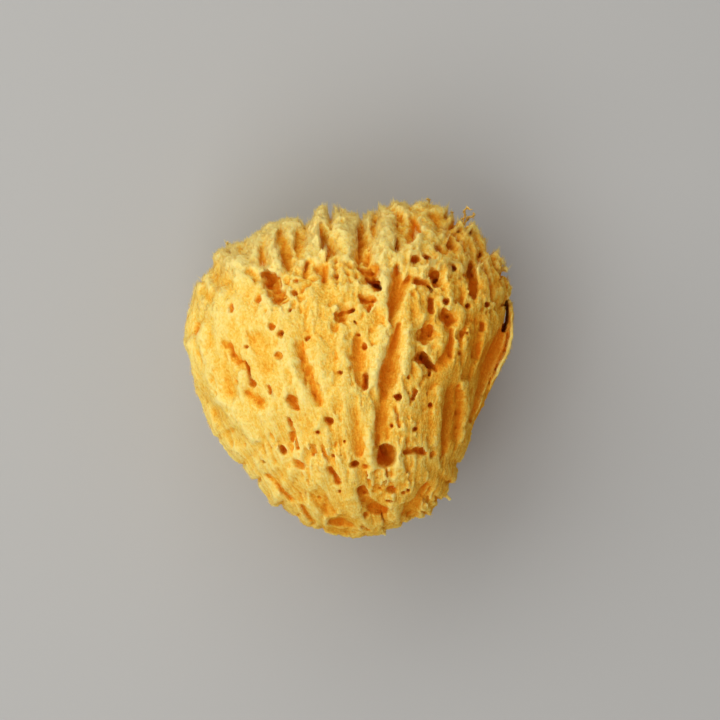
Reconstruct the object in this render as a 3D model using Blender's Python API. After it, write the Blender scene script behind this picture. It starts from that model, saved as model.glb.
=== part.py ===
"""A natural sea sponge, trimmed for the bath, lying on its side.

It grew upwards from the narrow trimmed tip to the broad open crown, in flutes and channels that
fan out from below the tip. The tip points to -Y, the crown to +Y, and +Z is up from the surface
that the sponge lies on. The origin is on that surface, in the middle of the flat underside.
Lengths below are millimetres, and the finished mesh is in metres.
"""

import itertools

import bmesh
import bpy
import numpy as np

MM = 0.001

# Overall form
HEIGHT = 76.0
CENTRE_HEIGHT = 36.0  # of the widest section, where the outline below is measured
UNDER_DEPTH = 40.0  # of the round underside, which the surface below then flattens
FULLNESS = 2.25  # 2 is an ellipse in section, and more is squarer

# The widest section from above, anticlockwise from the right-hand side: x, y
OUTLINE = [
    (48.8, 10.0), (48.9, 24.5), (44.6, 34.5), (37.5, 43.0), (27.5, 48.4), (16.5, 49.8),
    (7.0, 48.4), (-8.0, 47.4), (-18.5, 45.2), (-30.0, 40.4), (-38.0, 36.0), (-44.5, 28.0),
    (-47.6, 17.5), (-48.6, 8.5), (-46.3, -1.0), (-42.4, -12.5), (-34.6, -25.4), (-24.5, -36.0),
    (-15.4, -44.0), (-5.5, -50.0), (4.0, -50.8), (14.0, -48.0), (24.5, -42.4), (30.0, -36.5),
    (34.2, -26.0), (38.6, -15.4), (43.6, -2.6),
]

# Flutes, which all point away from one place below the tip
FAN_ORIGIN = (10.0, -90.0, 34.0)
FLUTE_WIDTH = 0.105  # of a flute, as a share of its distance from the fan's origin
FLUTE_RUN = 34.0  # along a flute, before it branches or ends
FLUTE_RELIEF = 2.0
CROWN_RELIEF = 4.0  # the flutes end in deep tufts at the crown
CROWN_FROM, CROWN_TO = 18.0, 44.0  # where along Y the relief grows from one to the other
LUMP_SIZE = 26.0
LUMP_RELIEF = 1.4

# Hollows in the upper side: depth, then the stations of a stroke as x, y, radius
HOLLOWS = [
    (10.0, [(11.4, -23.2, 2.8), (11.4, -24.8, 2.9)]),  # the largest round mouth
    (6.5, [(-27.4, 28.0, 1.6), (-24.0, 27.9, 2.3), (-21.2, 24.4, 1.9), (-20.4, 21.2, 2.4)]),
    (4.5, [(-19.2, 39.0, 1.2), (-17.4, 31.6, 1.6)]),
    (4.5, [(-13.8, 40.2, 1.0), (-13.5, 34.5, 1.1)]),
    (8.0, [(-7.6, 43.6, 1.2), (-5.8, 38.4, 2.2), (-5.4, 34.8, 1.1)]),
    (6.0, [(4.5, 44.0, 1.3), (4.5, 36.8, 1.2)]),
    (6.5, [(15.4, 42.6, 3.0), (19.6, 42.0, 2.8)]),
    (6.0, [(14.8, 38.0, 1.1), (14.8, 35.4, 0.9)]),
    (10.0, [(5.8, 26.6, 2.1), (8.2, 26.4, 2.2)]),  # the deepest ragged mouth
    (6.0, [(2.4, 31.6, 1.3), (4.2, 27.8, 1.6)]),
    (4.5, [(5.2, 20.8, 2.2)]),
    (5.5, [(-2.4, 16.6, 1.9)]),
    (6.0, [(0.2, 17.8, 0.8), (1.6, 18.0, 1.0)]),
    (7.0, [(15.0, 25.8, 1.3), (14.1, 21.4, 2.2), (12.4, 16.4, 1.0)]),
    (  # the longest channel
        7.0,
        [(14.8, 12.8, 1.5), (13.5, 6.6, 2.1), (11.6, 0.4, 2.7), (10.8, -4.0, 2.4),
         (9.6, -9.4, 1.7), (8.7, -16.0, 1.3), (8.4, -20.6, 1.0)],
    ),
    (4.5, [(2.2, 10.4, 2.4), (2.7, 3.8, 2.9), (3.6, -2.6, 2.2)]),
    (8.0, [(4.9, -0.8, 1.1), (4.6, -3.2, 1.1)]),
    (9.5, [(21.0, 3.8, 1.8), (23.6, 1.8, 1.6)]),
    (5.0, [(29.2, 6.2, 1.7), (27.0, 0.0, 1.8)]),
    (7.0, [(30.3, -5.8, 2.0), (30.0, -11.4, 2.5), (29.6, -17.6, 2.3), (28.6, -25.0, 1.3)]),
    (7.0, [(35.6, 31.4, 1.5), (36.0, 27.0, 2.2), (36.4, 22.8, 1.7)]),
    (  # behind the flap along the right-hand side
        9.0,
        [(46.4, 14.6, 1.0), (44.2, 6.8, 1.9), (41.8, 0.6, 1.7), (39.5, -5.0, 1.3), (37.6, -10.0, 1.0)],
    ),
    (4.5, [(16.8, -23.0, 1.1), (21.0, -23.4, 1.3)]),
    (5.5, [(3.9, -34.0, 1.3), (5.8, -39.4, 1.4)]),
    (4.5, [(8.8, -40.4, 2.1)]),
    (7.0, [(-3.8, -44.8, 2.7), (0.2, -45.2, 2.8)]),
    (4.5, [(17.8, -40.6, 1.3), (20.6, -37.6, 1.1)]),
    (5.5, [(-34.6, 6.5, 1.6), (-31.6, 3.2, 1.4), (-28.0, -3.4, 1.1)]),
    (4.0, [(-37.4, -0.6, 1.4), (-35.6, -4.6, 2.0)]),
    (4.0, [(-28.0, -7.6, 1.3), (-24.8, -9.4, 1.4)]),
    (3.4, [(-13.8, 5.8, 1.4), (-11.8, -0.4, 1.5), (-10.2, -6.0, 1.2), (-8.4, -10.2, 0.9)]),
    (5.5, [(-18.6, -22.4, 1.6)]),
    (2.6, [(-14.4, -26.4, 2.0)]),
    (4.5, [(-17.2, -14.0, 0.9), (-16.0, -19.0, 1.1)]),
    (3.6, [(-20.4, 11.0, 1.6), (-18.8, 11.0, 1.3)]),
    (3.6, [(-15.8, -7.8, 1.6)]),
    (5.0, [(28.8, 15.4, 2.6)]),
    (5.5, [(24.0, 13.0, 1.8), (21.9, 9.8, 1.8)]),
    (5.0, [(24.4, 27.2, 2.4)]),
    (4.5, [(14.8, 30.0, 1.2), (12.8, 27.6, 1.0)]),
    (4.5, [(19.5, 32.1, 1.3)]),
    (4.5, [(30.6, 30.3, 1.2)]),
    (4.5, [(38.7, 13.4, 1.3)]),
    (3.8, [(38.7, 8.6, 1.4), (38.2, 4.6, 1.3)]),
    (3.6, [(23.6, 20.0, 1.2), (24.0, 17.4, 1.2)]),
    (4.5, [(-4.6, -28.6, 1.1), (-3.0, -31.0, 1.0)]),
    (5.5, [(-5.4, -13.8, 1.3)]),
    (4.0, [(-7.4, -37.4, 1.1), (-4.4, -40.8, 1.1)]),
    (3.2, [(1.1, -11.2, 1.1), (2.0, -16.6, 1.0)]),
    (4.0, [(12.6, -33.9, 1.6)]),
]

# Hollows in the sides, the crown and the underside, which are scattered
SCATTER_SEED = 21
SCATTER_TRIES = 400
SCATTER_GAP = 9.5  # between the middles of two hollows
SCATTER_RADIUS = (1.3, 2.9)
SCATTER_DEPTH = (4.0, 9.0)
FLAT_KEPT = 13.0  # around the origin the underside has no hollow, so that it rests flat

HOLLOW_RIM = 0.45  # share of a hollow's radius in which its wall drops
SPHERE_LEVEL = 7
TRIANGLES = 9600  # before the underside is cut flat
BLOCK_SIDE = 200.0
COLOUR = (0.80, 0.46, 0.10, 1.0)

CENTRE = np.array([0.0, 0.0, CENTRE_HEIGHT])


def gradients():
    """Unit vectors for the noise lattice, and the order in which it takes them."""
    random = np.random.default_rng(5)
    slopes = random.normal(size=(256, 3))
    slopes /= np.linalg.norm(slopes, axis=1, keepdims=True)
    return slopes, random.permutation(256)


SLOPES, ORDER = gradients()


def noise(points):
    """Gradient noise at points, one cell to the unit, from about -1 to 1."""
    cell = np.floor(points).astype(np.int64)
    part = points - cell
    ease = part**3 * (part * (part * 6 - 15) + 10)
    total = np.zeros(len(points))
    for corner in itertools.product((0, 1), repeat=3):
        x, y, z = ((cell + corner) & 255).T
        slope = SLOPES[ORDER[(ORDER[(ORDER[x] + y) & 255] + z) & 255]]
        share = np.where(corner, ease, 1 - ease).prod(axis=1)
        total += share * ((part - corner) * slope).sum(axis=1)
    return total * 1.6


def smoothstep(low, high, value):
    t = np.clip((value - low) / (high - low), 0, 1)
    return t * t * (3 - 2 * t)


def outline_table(steps=720):
    """The outline's radius at even angles, on a smooth closed curve through its points."""
    points = np.array(OUTLINE)
    angle = np.unwrap(np.arctan2(points[:, 1], points[:, 0]))
    radius = np.linalg.norm(points, axis=1)
    turn = 2 * np.pi
    angle = np.concatenate([angle - turn, angle, angle + turn])
    radius = np.tile(radius, 3)
    even = np.arange(steps) * turn / steps
    at = np.searchsorted(angle, even, side="right") - 1
    t = (even - angle[at]) / (angle[at + 1] - angle[at])
    before, start, end, after = (radius[at + k] for k in (-1, 0, 1, 2))
    bend = 2 * before - 5 * start + 4 * end - after
    twist = 3 * (start - end) + after - before
    smooth = start + 0.5 * t * (end - before + t * (bend + t * twist))
    return np.append(even, turn), np.append(smooth, smooth[0])


OUTLINE_ANGLE, OUTLINE_RADIUS = outline_table()


def form_scale(points):
    """How far each point lies from the centre, as a share of the way to the plain form's skin."""
    x, y, z = (points - CENTRE).T
    radius = np.interp(np.arctan2(y, x) % (2 * np.pi), OUTLINE_ANGLE, OUTLINE_RADIUS)
    depth = np.where(z > 0, HEIGHT - CENTRE_HEIGHT, UNDER_DEPTH)
    across = np.hypot(x, y) / radius
    return (across**FULLNESS + np.abs(z / depth) ** FULLNESS) ** (1 / FULLNESS)


def on_form(points):
    """Points moved onto the plain form along their lines from the centre."""
    return CENTRE + (points - CENTRE) / form_scale(points)[:, None]


def inward(points):
    """The plain form's unit normals at points on it, pointing in."""
    step = 0.2
    slope = np.stack(
        [form_scale(points + d) - form_scale(points - d) for d in np.eye(3) * step], axis=1
    )
    return -slope / np.linalg.norm(slope, axis=1, keepdims=True)


def along_fan(points, width, run):
    """Noise coordinates in which a flute is one cell wide and one cell long."""
    reach = points - np.array(FAN_ORIGIN)
    distance = np.linalg.norm(reach, axis=1)
    return np.stack(
        [reach[:, 0] / distance / width, reach[:, 2] / distance / width, distance / run], axis=1
    )


def crest(value):
    """Turns noise into sharp crests with round valleys between them."""
    return 0.8 - 2.4 * np.sqrt(value**2 + 0.002)


def flutes(points):
    """Height of the fluted relief over the plain form."""
    swayed = points + 2.0 * np.stack(
        [noise(points / 19 + shift) for shift in (3.1, 17.7, 41.3)], axis=1
    )
    coarse = crest(noise(along_fan(swayed, FLUTE_WIDTH, FLUTE_RUN)))
    fine = crest(noise(along_fan(swayed, FLUTE_WIDTH / 2, FLUTE_RUN / 2) + 9.0))
    crown = smoothstep(CROWN_FROM, CROWN_TO, points[:, 1])
    relief = FLUTE_RELIEF + (CROWN_RELIEF - FLUTE_RELIEF) * crown
    return relief * (0.7 * coarse + 0.3 * fine) + LUMP_RELIEF * noise(points / LUMP_SIZE + 5.5)


def upper_strokes():
    """The hollows of the upper side, with their stations on the plain form."""
    for depth, stations in HOLLOWS:
        x, y, radius = np.array(stations).T
        middle = np.stack([x, y, np.full_like(x, CENTRE_HEIGHT)], axis=1)
        across = np.minimum(form_scale(middle), 0.98)
        rise = (HEIGHT - CENTRE_HEIGHT) * (1 - across**FULLNESS) ** (1 / FULLNESS)
        yield depth, middle + rise[:, None] * [0, 0, 1], radius


def scattered_strokes():
    """Hollows on the rest of the skin, at random and apart from each other."""
    random = np.random.default_rng(SCATTER_SEED)
    placed = []
    for _ in range(SCATTER_TRIES):
        middle = on_form(CENTRE + random.normal(size=(1, 3)))[0]
        radius = random.uniform(*SCATTER_RADIUS)
        depth = random.uniform(*SCATTER_DEPTH)
        length = random.uniform(0.0, 2.0) * radius
        facing_up = inward(middle[None])[0, 2] < -0.35
        under = middle[2] < 12 and np.hypot(*middle[:2]) < FLAT_KEPT + radius + length
        near = any(np.linalg.norm(middle - other) < SCATTER_GAP for other in placed)
        if facing_up or under or near:
            continue
        placed.append(middle)
        flute = middle - np.array(FAN_ORIGIN)
        half = length * flute / np.linalg.norm(flute)
        yield depth, on_form(np.stack([middle - half, middle + half])), np.full(2, radius)


def stroke_share(points, stations, radius):
    """Distance from a stroke as a share of its radius there, over all its segments."""
    if len(stations) == 1:
        return np.linalg.norm(points - stations[0], axis=1) / radius[0]
    share = np.full(len(points), np.inf)
    for k in range(len(stations) - 1):
        run = stations[k + 1] - stations[k]
        t = np.clip((points - stations[k]) @ run / (run @ run + 1e-9), 0, 1)
        gap = np.linalg.norm(points - stations[k] - t[:, None] * run, axis=1)
        share = np.minimum(share, gap / (radius[k] + t * (radius[k + 1] - radius[k])))
    return share


def hollow_depth(points):
    """How deep the hollows cut in at points on the plain form."""
    cut = np.zeros(len(points))
    for depth, stations, radius in [*upper_strokes(), *scattered_strokes()]:
        share = stroke_share(points, stations, radius)
        cut = np.maximum(cut, depth * (1 - smoothstep(1 - HOLLOW_RIM, 1 + HOLLOW_RIM, share)))
    return cut


def sponge_points(directions):
    """The skin's points, in millimetres, in the given directions from the centre."""
    skin = on_form(CENTRE + directions)
    reach = np.linalg.norm(skin - CENTRE, axis=1)
    slant = -(inward(skin) * directions).sum(axis=1)
    change = flutes(skin) - hollow_depth(skin)
    return CENTRE + directions * (reach + change / np.maximum(slant, 0.6))[:, None]


def sponge_material():
    material = bpy.data.materials.new("sponge_skeleton")
    material.use_nodes = True
    shader = material.node_tree.nodes["Principled BSDF"]
    shader.inputs["Base Color"].default_value = COLOUR
    shader.inputs["Roughness"].default_value = 0.95
    shader.inputs["Metallic"].default_value = 0.0
    return material


def make_surface_below():
    """A block whose top is the surface that the sponge lies on. It cuts the underside flat."""
    shape = bmesh.new()
    bmesh.ops.create_cube(shape, size=BLOCK_SIDE * MM)
    bmesh.ops.translate(shape, vec=(0, 0, -BLOCK_SIDE * MM / 2), verts=shape.verts)
    mesh = bpy.data.meshes.new("surface_below")
    shape.to_mesh(mesh)
    shape.free()
    block = bpy.data.objects.new("surface_below", mesh)
    block.hide_render = True
    block.display_type = "WIRE"
    bpy.context.scene.collection.objects.link(block)
    return block


def make_sponge():
    """One closed body: a fine sphere pushed out to the sponge's skin, thinned and cut flat below."""
    shape = bmesh.new()
    bmesh.ops.create_icosphere(shape, subdivisions=SPHERE_LEVEL, radius=1.0)
    mesh = bpy.data.meshes.new("sea_sponge")
    shape.to_mesh(mesh)
    shape.free()
    directions = np.empty(len(mesh.vertices) * 3)
    mesh.vertices.foreach_get("co", directions)
    directions = directions.reshape(-1, 3)
    directions /= np.linalg.norm(directions, axis=1, keepdims=True)
    mesh.vertices.foreach_set("co", (sponge_points(directions) * MM).ravel())
    mesh.update()
    mesh.materials.append(sponge_material())
    mesh.shade_smooth()
    sponge = bpy.data.objects.new("sea_sponge", mesh)
    bpy.context.scene.collection.objects.link(sponge)
    thin = sponge.modifiers.new("thin", "DECIMATE")
    thin.ratio = TRIANGLES / len(mesh.polygons)
    flatten = sponge.modifiers.new("flatten", "BOOLEAN")
    flatten.operation = "DIFFERENCE"
    flatten.object = make_surface_below()


def main():
    for old in list(bpy.data.objects):
        bpy.data.objects.remove(old)
    make_sponge()


main()
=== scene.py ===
"""Looks for a natural sea sponge that lies on its side, seen from straight above.

The sponge is built as a solid field on a fine grid: a rounded body, flutes that fan out from below
the narrow tip, a ragged crown, and the mouths, pores and channels where the photograph shows them.
The field's surface becomes one mesh, and short fibres cover it as a felt. Lengths are millimetres
until a mesh is made, and places on the upper side are given in the photograph's pixels.
"""

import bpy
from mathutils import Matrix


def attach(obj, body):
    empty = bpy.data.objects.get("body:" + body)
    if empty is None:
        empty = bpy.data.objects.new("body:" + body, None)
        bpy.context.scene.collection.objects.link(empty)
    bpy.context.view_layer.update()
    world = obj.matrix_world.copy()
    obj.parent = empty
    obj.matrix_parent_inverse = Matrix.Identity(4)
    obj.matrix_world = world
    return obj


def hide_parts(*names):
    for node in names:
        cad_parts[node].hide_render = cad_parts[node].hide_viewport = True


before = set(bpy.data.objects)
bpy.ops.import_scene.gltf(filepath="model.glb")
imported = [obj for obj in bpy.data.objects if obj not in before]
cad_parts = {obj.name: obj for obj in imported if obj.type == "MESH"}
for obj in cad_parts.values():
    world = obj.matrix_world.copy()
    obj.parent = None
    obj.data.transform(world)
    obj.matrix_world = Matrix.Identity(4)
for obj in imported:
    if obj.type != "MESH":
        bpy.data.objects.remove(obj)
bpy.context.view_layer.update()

from concurrent.futures import ThreadPoolExecutor

import bpy
import numpy as np
import openvdb
from mathutils import Vector

MM = 0.001
PHOTO_SIDE = 720
MM_PER_PIXEL = 0.3
ORIGIN_PIXEL = (348.5, 371.0)  # where the part's origin lies in the photograph

# The plain form, as in the part's source
HEIGHT = 76.0
CENTRE_HEIGHT = 36.0
UNDER_DEPTH = 40.0
FULLNESS = 2.25
CENTRE = np.array([0.0, 0.0, CENTRE_HEIGHT])
FUZZ = 0.8  # how far the fibres stand out past the solid body at the outline

# The outline from above, in pixels, clockwise from the left
OUTLINE = [
    (184, 344), (186, 334), (188, 320), (190, 305), (193, 292), (196, 283), (202, 277), (207, 273),
    (210, 268), (213, 260), (218, 254), (223, 248), (232, 246), (240, 243.5), (247, 241),
    (253, 236.5), (260, 233), (266, 230), (270, 226.5), (280, 225), (286, 222.5), (294, 221.5),
    (300, 222.5), (304, 226), (308, 226), (312, 222.5), (316, 216), (320, 209), (325, 211),
    (330, 219), (333, 212), (338, 208.5), (343, 209.5), (350, 214), (357, 215), (362, 219),
    (364, 214), (370, 210), (376, 215), (380, 210), (388, 207.5), (395, 206), (403, 204.5),
    (412, 205.5), (423, 206), (431, 208), (443, 209.5), (446, 216), (450, 217.5), (457, 225),
    (463, 221), (466, 231), (472, 228), (476, 236), (482, 244), (485, 252), (487, 258), (493, 256),
    (499, 262), (503, 270), (506, 278), (511, 288), (510, 296), (508, 303), (511, 306), (513, 312),
    (511, 335), (510, 343), (507, 353), (503, 360), (497, 370), (492, 379), (490, 388), (487, 394),
    (486, 400), (482, 410), (477, 420), (473, 431), (470, 445), (466, 453), (463, 460), (459, 466),
    (457, 473), (455, 482), (449, 487), (445, 495), (441, 501), (438, 505), (432, 508), (430, 515),
    (425, 518), (411, 520), (405, 525), (402, 528), (395, 529.5), (386, 531), (385, 536),
    (378, 537), (363, 539), (350, 541), (336, 540), (325, 536), (321, 530), (315, 530.5),
    (309, 528.5), (303, 525), (298, 520), (294, 516), (288, 512), (280, 508), (272, 507),
    (270, 502), (268, 497), (263, 490), (256, 481), (250, 477), (245, 472), (240, 465), (230, 457),
    (225, 450), (220, 443), (218, 437), (214, 435), (211, 428), (207, 418), (204, 409), (202, 402),
    (197, 393), (194, 383), (192, 373), (191, 363), (189, 355), (186, 348),
]

# Crumbly patches of the upper side: x, y and radius in pixels
CRUMBLY = [
    (352, 316, 36), (440, 290, 44), (382, 486, 32), (240, 368, 30), (330, 445, 30), (272, 298, 26),
    (412, 390, 18), (455, 345, 26),
]

# The flutes fan out from here, and grow coarser over the crown, from one Y to the other
FAN_ORIGIN = np.array([10.0, -80.0, 34.0])
CROWN_FROM, CROWN_TO = 14.0, 42.0

# Noise that runs along the flutes: its width as a share of the way from the fan's origin, its length
# in mm, and its shift
FLUTE = (0.085, 36.0)
RIB = (0.038, 22.0, 9.0)
STREAK = (0.016, 16.0, 23.0)
THREAD = (0.010, 9.0, 51.0)
LONG_PITS = (0.032, 6.0, 71.0)
MOUNDS = (0.075, 13.0, 37.0)
FLAP_STREAK = (0.028, 18.0, 5.0)

# Strokes cut into the upper side: depth in mm, then stations as x, y, radius, all in pixels
MOUTHS = [
    (8, (359, 271, 4.4), (367, 273, 6.4), (374, 276, 5)),
    (17, (369, 283, 5.4), (374, 285, 5.6), (377, 291, 3.4)),
    (6, (362, 301, 4), (370, 303, 5), (367, 311, 2.5)),
    (9, (268, 277, 5.4), (272, 281, 7.2), (276, 290, 5.6)),
    (8, (275, 294, 4.6), (281, 300, 6.4), (286, 301, 4.6)),
    (2.6, (252, 273, 2.4), (259, 279, 4.4), (266, 286, 3.4)), (9, (281, 281, 1.8), (282, 289, 1.8)),
    (13, (418, 359, 5.2), (420.5, 361.5, 5.2), (427, 367, 3.4), (431, 371, 1.6)),
    (7, (427, 368, 2), (426, 376, 1.4)), (7, (421.5, 338, 5.8), (426, 330, 5.4)),
    (8, (426, 337, 2.2), (428, 331, 2)), (6, (442.5, 318, 7), (446, 324, 6.6)),
    (9, (444, 316, 2.2)), (8.5, (443, 323, 2)), (5, (428, 302, 3), (427, 312, 3.2)),
    (4, (443, 304, 2.8)), (6, (432, 278, 4.4), (433, 286, 4.2)), (10, (433, 281, 2), (432, 284, 2)),
    (4, (414, 284, 2.8), (424, 287, 2.4)), (7, (424, 289, 1.4), (429, 293, 1.4)),
    (5, (413, 264, 3.8)), (3, (424, 261, 2.2), (427, 263, 1.6)), (4.5, (450, 271, 3)),
    (5, (464, 307, 2.6)), (4, (484, 306, 2.4)), (5, (479, 325, 2.2), (479, 331, 2.2)),
    (3, (464, 334, 1.6)), (8, (467, 267, 3), (469, 281, 5), (470, 296, 4.4)),
    (5.5, (340, 318, 5.4)), (7, (346, 315, 1.8), (353, 313, 2.8)), (3.5, (337, 279, 1.8)),
    (4.5, (397, 270, 2.6), (396, 276, 3.4), (391, 281, 2.4)), (6, (364, 348, 2.8)),
    (4.5, (357, 336, 2)), (4.5, (353, 358, 2)), (8, (364, 375, 3), (365, 384, 3.4)),
    (3.5, (341, 372, 2)), (6, (397, 396, 2.8)), (3.5, (414, 390, 1.6), (411, 397, 1.6)),
    (3, (380, 411, 1.6)), (4.5, (376, 433, 2.6), (376, 443, 2.6)), (4, (391, 423, 2)),
    (4, (413, 426, 2)), (4, (428, 403, 2.2)), (5, (330, 418, 3.2)),
    (5, (419, 449.5, 4), (412, 446.5, 2.4), (405, 448, 3.2)), (2.5, (430, 452, 2.8)),
    (7, (354, 460.5, 3.2)), (4, (364, 463, 2.6)), (3, (334, 452, 1.9)),
    (4.5, (330, 464, 2.2), (339, 477, 2.6)), (3, (340, 487, 1.5)), (3, (319, 495, 2)),
    (6.5, (360, 486, 3.4), (363, 492, 3.4)), (4.5, (390, 485, 4)), (3.5, (379, 485, 1.9)),
    (3.5, (372, 488, 1.9)), (3, (402, 488, 1.5)), (3, (407, 487, 1.5)),
    (2.5, (387, 497, 1.5), (391, 497, 1.5)), (3.5, (366, 512, 2.6)),
    (3, (362, 523, 1.5), (369, 527, 1.5)), (4, (261, 302, 3.4)),
    (2.6, (236, 307, 1.9), (236, 312, 1.9)), (6, (232, 348, 4), (235, 355, 3.4), (243, 362, 2.2)),
    (6, (247, 362, 1.5), (250, 368, 1.5), (254, 379, 1.5)), (5, (256, 383, 3.6)),
    (3.5, (250, 347, 2)), (2.4, (250, 333, 1.3), (254, 343, 1.5), (259, 352, 1.3)),
    (4, (238, 382, 2.8)), (4, (285, 335, 2.6)), (2.4, (276, 328, 2.6)), (2.6, (281, 355, 3.6)),
    (4, (309, 339, 2.4)), (4.5, (293, 397, 3.2), (300, 405, 2.6)),
    (4, (293, 431, 2.4), (293, 437, 2.2)), (3, (292, 417, 1.5), (295, 426, 1.5), (300, 445, 1.6)),
    (5, (286, 447, 3.4)), (3, (298, 459, 4.2), (301, 462, 4)), (4, (267, 459, 2)),
    (2.6, (298, 284, 2)), (2.6, (297, 295, 2.4)), (3, (293, 313, 1.5)), (3.5, (319, 430, 1.9)),
    (3, (344, 438, 1.6)), (3, (272, 385, 1.4), (274, 391, 1.4)), (3, (247, 443, 2)),
    (6, (446, 395, 2.6)), (6, (455, 413, 3.4)), (5, (442, 431, 2.2)),
    (5, (475, 346, 4.4), (475, 356, 4.8)), (4, (448, 332, 2.2), (447, 356, 2.4)),
    (3.5, (457, 353, 2.4)), (3.5, (470, 391, 2)), (3.5, (439, 455, 1.6)),
]

# The one large round opening near the tip
OSCULUM = [
    (11, (386, 450, 7.8), (385, 456, 7.8)), (15, (383, 449, 4), (385, 455, 3.6)),
    (12, (389, 447, 2.4), (391, 452, 2)),
]

# Wide valleys between the flutes, in the same form
VALLEYS = [
    (7.5, (322, 228, 2.6), (328, 242, 6), (332, 253, 6), (330, 262, 1.6)),
    (4.5, (300, 234, 3), (302, 248, 4.4), (303, 260, 1.8)),
    (5.5, (286, 242, 3.6), (290, 257, 6.2), (291, 270, 3.4)), (3, (282, 234, 2.4), (281, 247, 4.4)),
    (3, (264, 250, 2.4), (266, 266, 3.6)), (3, (310, 266, 2.4), (308, 280, 1.8)),
    (2.6, (327, 270, 2.4), (326, 284, 2.4)),
    (7, (361, 231, 3.6), (363, 243, 6), (363.5, 252, 3.6), (363.5, 257, 1.4)),
    (2.5, (373, 229, 1.2), (375, 240, 1.2)), (5, (397, 241, 2), (397, 250, 3), (396, 257, 1)),
    (3, (432, 219, 4.4), (437, 226, 4.4)), (4.5, (444, 232, 2), (448, 249, 4.4)),
    (4.5, (454, 237, 2.2), (463, 258, 1.8)), (2.5, (435, 254, 4)),
    (3, (408, 281, 2.4), (403, 290, 2.4)), (5, (464, 236, 1.6), (474, 254, 2.8), (483, 274, 2.8)),
    (5, (484, 252, 1.8), (491, 268, 2.6), (498, 286, 2.2)),
    (4, (499, 268, 1.4), (504, 282, 2), (506, 294, 1.6)),
    (4, (482, 276, 2.2), (487, 286, 3.4), (488, 300, 2.8)), (3, (240, 246, 2), (244, 256, 2.4)),
    (2.6, (383, 396, 4), (381, 412, 4.6), (379, 430, 4)),
    (2.4, (433, 368, 3), (441, 360, 5), (447, 349, 4)),
    (1.8, (270, 472, 1.8), (278, 480, 2), (292, 496, 1.8)), (2, (304, 503, 2), (312, 518, 2)),
    (4, (426, 482, 2.6), (415, 500, 4.5), (404, 511, 4)), (2.4, (229, 385, 4), (233, 391, 4)),
    (3, (202, 290, 4), (211, 299, 5)), (2.6, (252, 393, 4), (263, 401, 5), (267, 405, 2)),
    (3, (228, 345, 4), (238, 358, 5), (250, 368, 3)),
]

# Troughs with steep sides and a smooth floor
TROUGHS = [
    (7, (397, 280, 3.6), (396, 294, 6.6), (393, 307, 5.8), (389, 322, 1.4)),
    (8, (398, 326, 1.8), (395, 340, 3.6), (391, 357, 5.4), (388, 371, 8.2), (386, 383, 7.2), (384, 395, 4)),
    (6, (450, 394, 7.4), (449, 412, 9.4), (446, 430, 7.4), (442, 452, 3)),
    (5, (358, 341, 4.5), (359, 356, 6), (361, 380, 5)),
]

# Valleys with their sharp side on the right
VALLEYS_TO_THE_RIGHT = [
    (6, (411, 222, 4), (412, 234, 7), (408, 243, 4)),
]

# Painted shade and painted light in soft patches: how much deeper the painted shade, or paler as painted
# light if below zero, then x, y, radius in pixels
PAINTED_SHADE_AND_LIGHT = [
    (0.17, (450, 394, 11), (449, 412, 13), (445, 440, 9)),
    (0.14, (511, 308, 5), (511, 335, 5), (504, 356, 5), (490, 386, 5), (478, 415, 5)),
    (0.05, (326, 240, 8), (330, 256, 6)), (0.05, (288, 246, 8), (292, 266, 7)),
    (0.05, (362, 240, 7), (364, 252, 5)), (0.05, (404, 500, 22), (440, 480, 16)),
    (0.12, (470, 272, 8), (474, 290, 9)), (0.12, (435, 368, 8), (444, 354, 9)),
    (0.09, (475, 345, 6), (475, 357, 6)), (0.08, (384, 394, 8), (381, 430, 9)),
    (0.07, (352, 272, 9), (366, 272, 11)), (0.1, (376, 505, 10)), (0.11, (340, 522, 11)),
    (0.06, (300, 290, 14), (318, 276, 10)), (0.06, (240, 352, 9), (254, 374, 10), (262, 400, 8)),
    (0.03, (311, 372, 6), (320, 398, 6)), (0.06, (424, 380, 8), (436, 420, 8)),
    (0.05, (470, 330, 12), (470, 370, 12)), (-0.07, (379, 334, 9), (376, 358, 6), (374, 376, 3)),
    (-0.06, (404, 338, 7), (401, 366, 5)), (-0.06, (288, 344, 8), (292, 372, 7), (304, 396, 7)),
    (-0.05, (322, 362, 10), (330, 392, 8)), (-0.05, (368, 415, 5), (369, 440, 5)),
    (-0.05, (392, 262, 8), (386, 292, 5)),
]

# Shallow hollows without edges: depth in mm, then x, y, radius in pixels
SOFT_HOLLOWS = [
    (1.6, (206, 332, 9), (217, 360, 11), (229, 386, 12)), (1.2, (222, 412, 9), (240, 436, 10)),
    (1.1, (302, 348, 6), (311, 372, 7), (321, 400, 5)), (1.2, (262, 340, 9), (272, 366, 9)),
    (1.3, (218, 268, 8), (226, 286, 10)), (1.2, (283, 475, 9), (300, 492, 9)),
    (1.8, (424, 486, 8), (408, 506, 10)), (1.6, (398, 226, 9), (404, 240, 9)),
    (1.6, (364, 262, 8), (368, 276, 10)), (1.4, (392, 284, 8), (394, 304, 7)),
    (1.4, (366, 488, 10), (376, 508, 11)), (1.6, (336, 530, 12), (346, 522, 12)),
    (1.2, (452, 392, 10), (450, 430, 9)), (1.8, (386, 388, 9), (382, 412, 9), (380, 434, 8)),
    (1.6, (318, 492, 8), (332, 507, 7)), (0.9, (354, 408, 4), (357, 428, 5), (359, 450, 4)),
]

# Hollows cut straight down: at the narrow tip, and behind the thin flap at the right-hand edge
CUT_STRAIGHT_DOWN = [
    (7.5, (333, 520, 4.4), (341, 521, 6.2), (350, 523, 3.8)),
    (6, (361, 487, 3.4), (366, 497, 4.4), (374, 505, 6.4), (383, 507, 4.2)),
    (38, (506, 309, 1.8), (504, 320, 2.7), (501.5, 330, 2.2)),
    (8, (500, 333, 4), (495, 351, 7.5), (487, 368, 7), (481, 385, 5), (476, 400, 3.6), (470, 420, 2.6)),
]

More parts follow.
